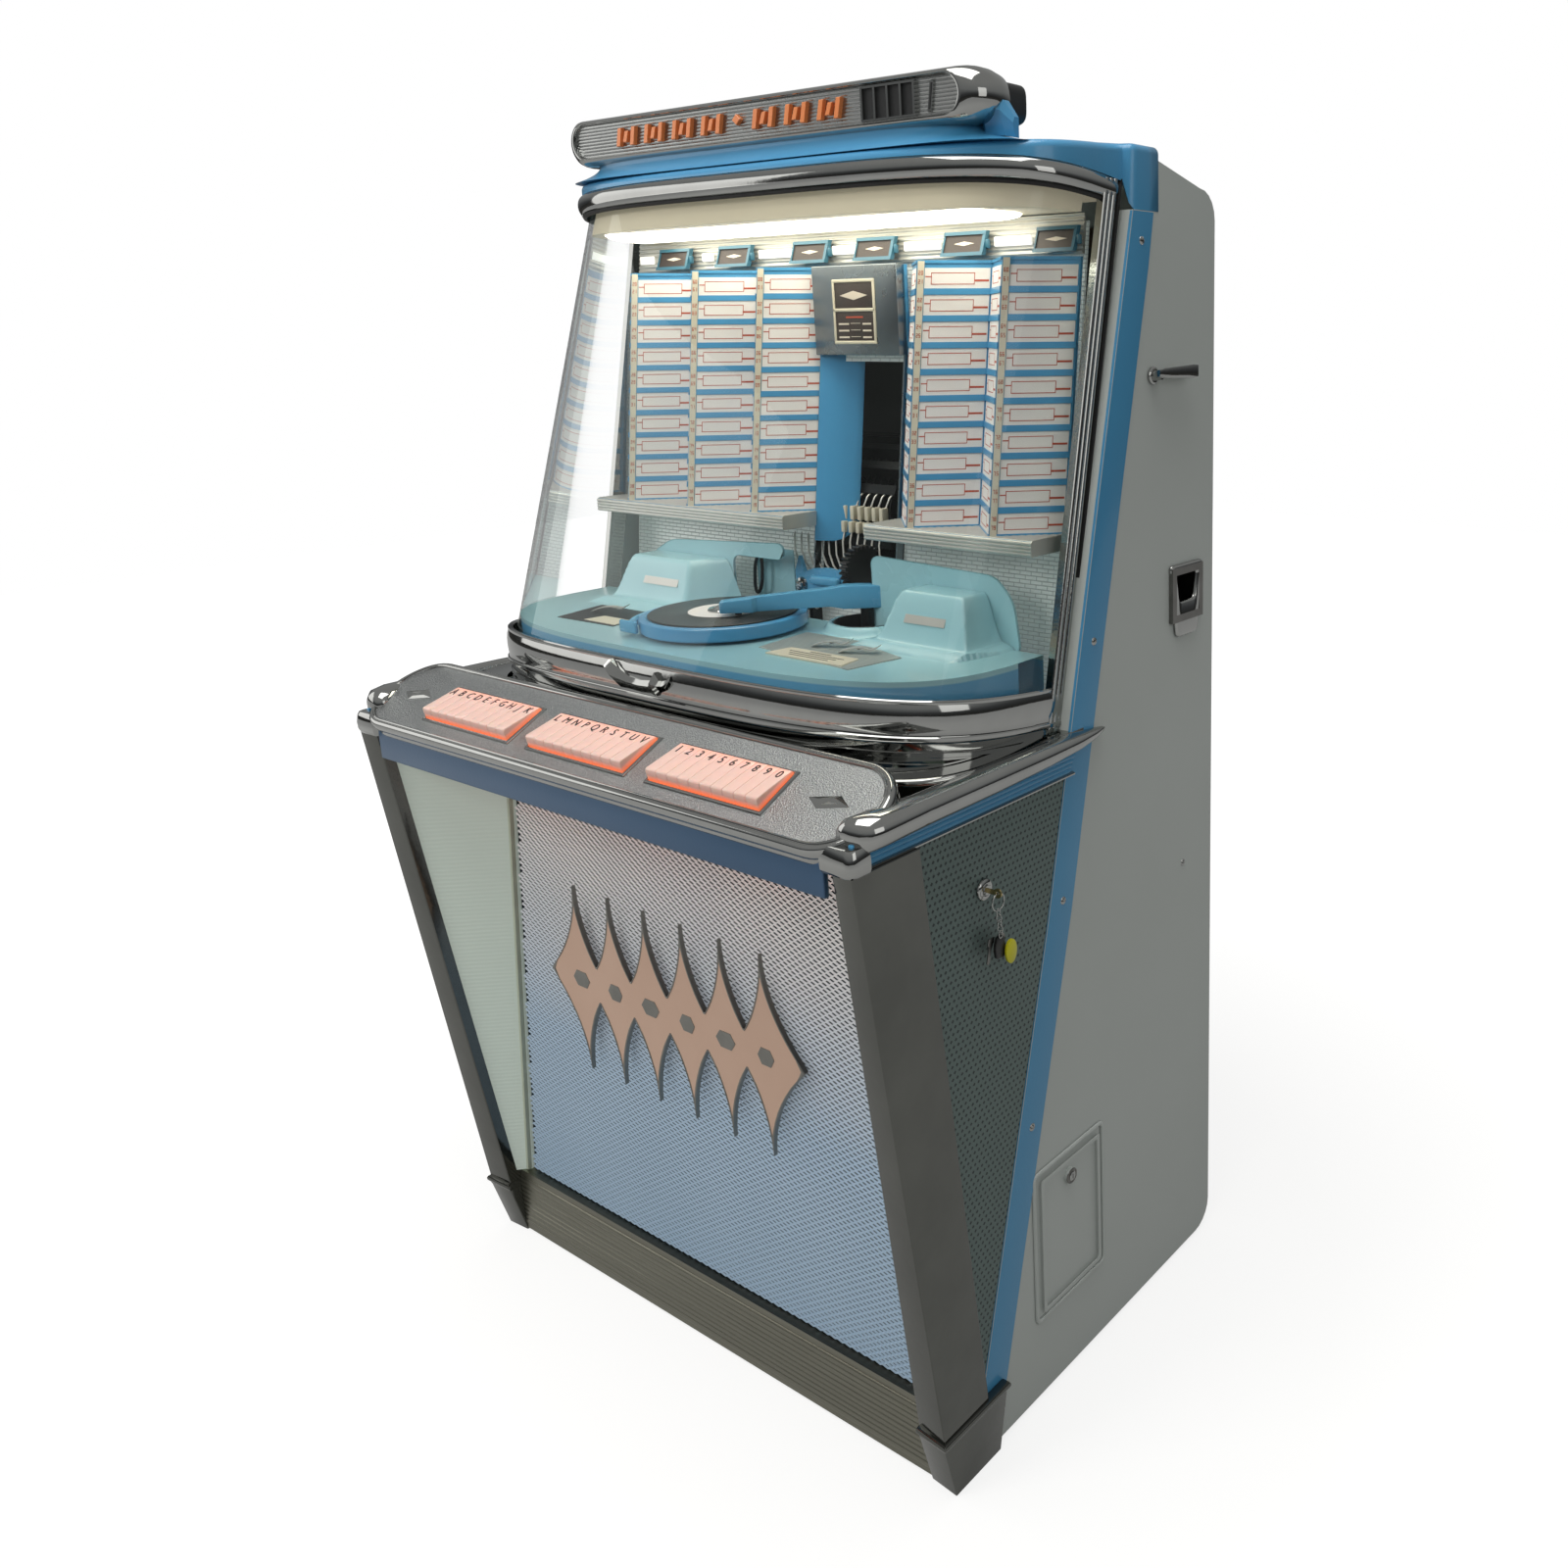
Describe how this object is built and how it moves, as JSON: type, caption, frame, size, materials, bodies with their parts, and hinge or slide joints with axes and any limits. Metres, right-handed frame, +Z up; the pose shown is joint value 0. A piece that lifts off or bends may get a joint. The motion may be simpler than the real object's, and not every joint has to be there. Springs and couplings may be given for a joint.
{
  "type": "jukebox",
  "caption": "Floor-standing coin-operated record player: hinged glazed lid over a turntable, title boards, slanted key console, mesh front, painted cabinet",
  "frame": {"origin": "On the floor, under the middle of the object's box", "axes": "+Z up, front towards -Y, +X to the viewer's right, metres"},
  "size_m": [0.882, 0.6657, 1.501],
  "materials": {
    "white_paint": "satin",
    "blue_paint": "semi-gloss",
    "aqua_paint": "satin",
    "chrome_plate": "polished",
    "aluminium": "brushed and stamped",
    "clear_glass": "clear",
    "salmon_plastic": "gloss",
    "beige_enamel": "satin",
    "plated_steel": "satin",
    "fibreboard": "matte"
  },
  "bodies": {
    "cabinet": {"cabinet_shell": "white_paint", "coin_unit": "plated_steel", "inner_panel": "aluminium", "title_rack": "blue_paint", "mechanism_tray": "aqua_paint", "mechanism_base": "plated_steel", "console_frame": "chrome_plate", "console_panel": "aluminium", "pillar_left": "chrome_plate", "pillar_right": "chrome_plate", "side_box_left": "aluminium", "side_box_right": "aluminium", "front_grille": "plated_steel", "kick_rail": "aluminium", "badge": "beige_enamel", "speaker_baffle": "fibreboard", "amplifier": "plated_steel"},
    "lid": {"lid_frame": "chrome_plate", "lid_glass": "clear_glass", "roof_cowl": "blue_paint", "sign_housing": "chrome_plate", "lamp_tray": "white_paint"},
    "rear_door": {"rear_door": "fibreboard"},
    "cash_door": {"cash_door": "white_paint"},
    "coin_return_lever": {"coin_return_lever": "chrome_plate"},
    "side_lock": {"side_lock": "chrome_plate"},
    "turntable": {"turntable": "blue_paint"},
    "tonearm": {"tonearm": "blue_paint"},
    "gripper_arm": {"gripper_arm": "blue_paint"},
    "record_magazine": {"record_magazine": "plated_steel"},
    "key_0": {"key_0": "salmon_plastic"},
    "key_1": {"key_1": "salmon_plastic"},
    "key_2": {"key_2": "salmon_plastic"},
    "key_3": {"key_3": "salmon_plastic"},
    "key_4": {"key_4": "salmon_plastic"},
    "key_5": {"key_5": "salmon_plastic"},
    "key_6": {"key_6": "salmon_plastic"},
    "key_7": {"key_7": "salmon_plastic"},
    "key_8": {"key_8": "salmon_plastic"},
    "key_9": {"key_9": "salmon_plastic"},
    "key_a": {"key_a": "salmon_plastic"},
    "key_b": {"key_b": "salmon_plastic"},
    "key_c": {"key_c": "salmon_plastic"},
    "key_d": {"key_d": "salmon_plastic"},
    "key_e": {"key_e": "salmon_plastic"},
    "key_f": {"key_f": "salmon_plastic"},
    "key_g": {"key_g": "salmon_plastic"},
    "key_h": {"key_h": "salmon_plastic"},
    "key_j": {"key_j": "salmon_plastic"},
    "key_k": {"key_k": "salmon_plastic"},
    "key_l": {"key_l": "salmon_plastic"},
    "key_m": {"key_m": "salmon_plastic"},
    "key_n": {"key_n": "salmon_plastic"},
    "key_p": {"key_p": "salmon_plastic"},
    "key_q": {"key_q": "salmon_plastic"},
    "key_r": {"key_r": "salmon_plastic"},
    "key_s": {"key_s": "salmon_plastic"},
    "key_t": {"key_t": "salmon_plastic"},
    "key_u": {"key_u": "salmon_plastic"},
    "key_v": {"key_v": "salmon_plastic"}
  },
  "joints": [
    {"name": "lid_hinge", "type": "hinge", "parent": "cabinet", "child": "lid", "pos_m": [0, 0.2057, 1.4205], "axis": [-1, 0, 0], "range_deg": [0, 38]},
    {"name": "rear_door_hinge", "type": "hinge", "parent": "cabinet", "child": "rear_door", "pos_m": [-0.3972, 0.33, 0.7], "axis": [0, 0, 1], "range_deg": [0, 110]},
    {"name": "cash_door_hinge", "type": "hinge", "parent": "cabinet", "child": "cash_door", "pos_m": [0.416, 0.003, 0.1128], "axis": [0, 1, 0], "range_deg": [0, 95]},
    {"name": "coin_return_hinge", "type": "hinge", "parent": "cabinet", "child": "coin_return_lever", "pos_m": [0.4, 0.191, 1.19], "axis": [-1, 0, 0], "range_deg": [0, 25], "stiffness_Nm_per_rad": 0.15, "springref_deg": -28.65},
    {"name": "side_lock_turn", "type": "hinge", "parent": "cabinet", "child": "side_lock", "pos_m": [0.41, -0.132, 0.683], "axis": [1, 0, 0], "range_deg": [0, 90]},
    {"name": "turntable_spin", "type": "hinge", "parent": "cabinet", "child": "turntable", "pos_m": [-0.025, -0.075, 0.9], "axis": [0, 0, 1], "continuous": true},
    {"name": "tonearm_swing", "type": "hinge", "parent": "cabinet", "child": "tonearm", "pos_m": [0.122, 0.017, 0.93], "axis": [0, 0, 1], "range_deg": [0, 30]},
    {"name": "gripper_swing", "type": "hinge", "parent": "cabinet", "child": "gripper_arm", "pos_m": [-0.025, 0.046, 0.906], "axis": [-1, 0, 0], "range_deg": [0, 60]},
    {"name": "magazine_spin", "type": "hinge", "parent": "cabinet", "child": "record_magazine", "pos_m": [0.01, 0.201, 1], "axis": [1, 0, 0], "continuous": true},
    {"name": "key_0_press", "type": "slide", "parent": "cabinet", "child": "key_0", "axis": [0, 0.4695, -0.8829], "range_m": [0, 0.005], "stiffness_N_per_m": 400, "springref_m": -0.003},
    {"name": "key_1_press", "type": "slide", "parent": "cabinet", "child": "key_1", "axis": [0, 0.4695, -0.8829], "range_m": [0, 0.005], "stiffness_N_per_m": 400, "springref_m": -0.003},
    {"name": "key_2_press", "type": "slide", "parent": "cabinet", "child": "key_2", "axis": [0, 0.4695, -0.8829], "range_m": [0, 0.005], "stiffness_N_per_m": 400, "springref_m": -0.003},
    {"name": "key_3_press", "type": "slide", "parent": "cabinet", "child": "key_3", "axis": [0, 0.4695, -0.8829], "range_m": [0, 0.005], "stiffness_N_per_m": 400, "springref_m": -0.003},
    {"name": "key_4_press", "type": "slide", "parent": "cabinet", "child": "key_4", "axis": [0, 0.4695, -0.8829], "range_m": [0, 0.005], "stiffness_N_per_m": 400, "springref_m": -0.003},
    {"name": "key_5_press", "type": "slide", "parent": "cabinet", "child": "key_5", "axis": [0, 0.4695, -0.8829], "range_m": [0, 0.005], "stiffness_N_per_m": 400, "springref_m": -0.003},
    {"name": "key_6_press", "type": "slide", "parent": "cabinet", "child": "key_6", "axis": [0, 0.4695, -0.8829], "range_m": [0, 0.005], "stiffness_N_per_m": 400, "springref_m": -0.003},
    {"name": "key_7_press", "type": "slide", "parent": "cabinet", "child": "key_7", "axis": [0, 0.4695, -0.8829], "range_m": [0, 0.005], "stiffness_N_per_m": 400, "springref_m": -0.003},
    {"name": "key_8_press", "type": "slide", "parent": "cabinet", "child": "key_8", "axis": [0, 0.4695, -0.8829], "range_m": [0, 0.005], "stiffness_N_per_m": 400, "springref_m": -0.003},
    {"name": "key_9_press", "type": "slide", "parent": "cabinet", "child": "key_9", "axis": [0, 0.4695, -0.8829], "range_m": [0, 0.005], "stiffness_N_per_m": 400, "springref_m": -0.003},
    {"name": "key_a_press", "type": "slide", "parent": "cabinet", "child": "key_a", "axis": [0, 0.4695, -0.8829], "range_m": [0, 0.005], "stiffness_N_per_m": 400, "springref_m": -0.003},
    {"name": "key_b_press", "type": "slide", "parent": "cabinet", "child": "key_b", "axis": [0, 0.4695, -0.8829], "range_m": [0, 0.005], "stiffness_N_per_m": 400, "springref_m": -0.003},
    {"name": "key_c_press", "type": "slide", "parent": "cabinet", "child": "key_c", "axis": [0, 0.4695, -0.8829], "range_m": [0, 0.005], "stiffness_N_per_m": 400, "springref_m": -0.003},
    {"name": "key_d_press", "type": "slide", "parent": "cabinet", "child": "key_d", "axis": [0, 0.4695, -0.8829], "range_m": [0, 0.005], "stiffness_N_per_m": 400, "springref_m": -0.003},
    {"name": "key_e_press", "type": "slide", "parent": "cabinet", "child": "key_e", "axis": [0, 0.4695, -0.8829], "range_m": [0, 0.005], "stiffness_N_per_m": 400, "springref_m": -0.003},
    {"name": "key_f_press", "type": "slide", "parent": "cabinet", "child": "key_f", "axis": [0, 0.4695, -0.8829], "range_m": [0, 0.005], "stiffness_N_per_m": 400, "springref_m": -0.003},
    {"name": "key_g_press", "type": "slide", "parent": "cabinet", "child": "key_g", "axis": [0, 0.4695, -0.8829], "range_m": [0, 0.005], "stiffness_N_per_m": 400, "springref_m": -0.003},
    {"name": "key_h_press", "type": "slide", "parent": "cabinet", "child": "key_h", "axis": [0, 0.4695, -0.8829], "range_m": [0, 0.005], "stiffness_N_per_m": 400, "springref_m": -0.003},
    {"name": "key_j_press", "type": "slide", "parent": "cabinet", "child": "key_j", "axis": [0, 0.4695, -0.8829], "range_m": [0, 0.005], "stiffness_N_per_m": 400, "springref_m": -0.003},
    {"name": "key_k_press", "type": "slide", "parent": "cabinet", "child": "key_k", "axis": [0, 0.4695, -0.8829], "range_m": [0, 0.005], "stiffness_N_per_m": 400, "springref_m": -0.003},
    {"name": "key_l_press", "type": "slide", "parent": "cabinet", "child": "key_l", "axis": [0, 0.4695, -0.8829], "range_m": [0, 0.005], "stiffness_N_per_m": 400, "springref_m": -0.003},
    {"name": "key_m_press", "type": "slide", "parent": "cabinet", "child": "key_m", "axis": [0, 0.4695, -0.8829], "range_m": [0, 0.005], "stiffness_N_per_m": 400, "springref_m": -0.003},
    {"name": "key_n_press", "type": "slide", "parent": "cabinet", "child": "key_n", "axis": [0, 0.4695, -0.8829], "range_m": [0, 0.005], "stiffness_N_per_m": 400, "springref_m": -0.003},
    {"name": "key_p_press", "type": "slide", "parent": "cabinet", "child": "key_p", "axis": [0, 0.4695, -0.8829], "range_m": [0, 0.005], "stiffness_N_per_m": 400, "springref_m": -0.003},
    {"name": "key_q_press", "type": "slide", "parent": "cabinet", "child": "key_q", "axis": [0, 0.4695, -0.8829], "range_m": [0, 0.005], "stiffness_N_per_m": 400, "springref_m": -0.003},
    {"name": "key_r_press", "type": "slide", "parent": "cabinet", "child": "key_r", "axis": [0, 0.4695, -0.8829], "range_m": [0, 0.005], "stiffness_N_per_m": 400, "springref_m": -0.003},
    {"name": "key_s_press", "type": "slide", "parent": "cabinet", "child": "key_s", "axis": [0, 0.4695, -0.8829], "range_m": [0, 0.005], "stiffness_N_per_m": 400, "springref_m": -0.003},
    {"name": "key_t_press", "type": "slide", "parent": "cabinet", "child": "key_t", "axis": [0, 0.4695, -0.8829], "range_m": [0, 0.005], "stiffness_N_per_m": 400, "springref_m": -0.003},
    {"name": "key_u_press", "type": "slide", "parent": "cabinet", "child": "key_u", "axis": [0, 0.4695, -0.8829], "range_m": [0, 0.005], "stiffness_N_per_m": 400, "springref_m": -0.003},
    {"name": "key_v_press", "type": "slide", "parent": "cabinet", "child": "key_v", "axis": [0, 0.4695, -0.8829], "range_m": [0, 0.005], "stiffness_N_per_m": 400, "springref_m": -0.003}
  ]
}
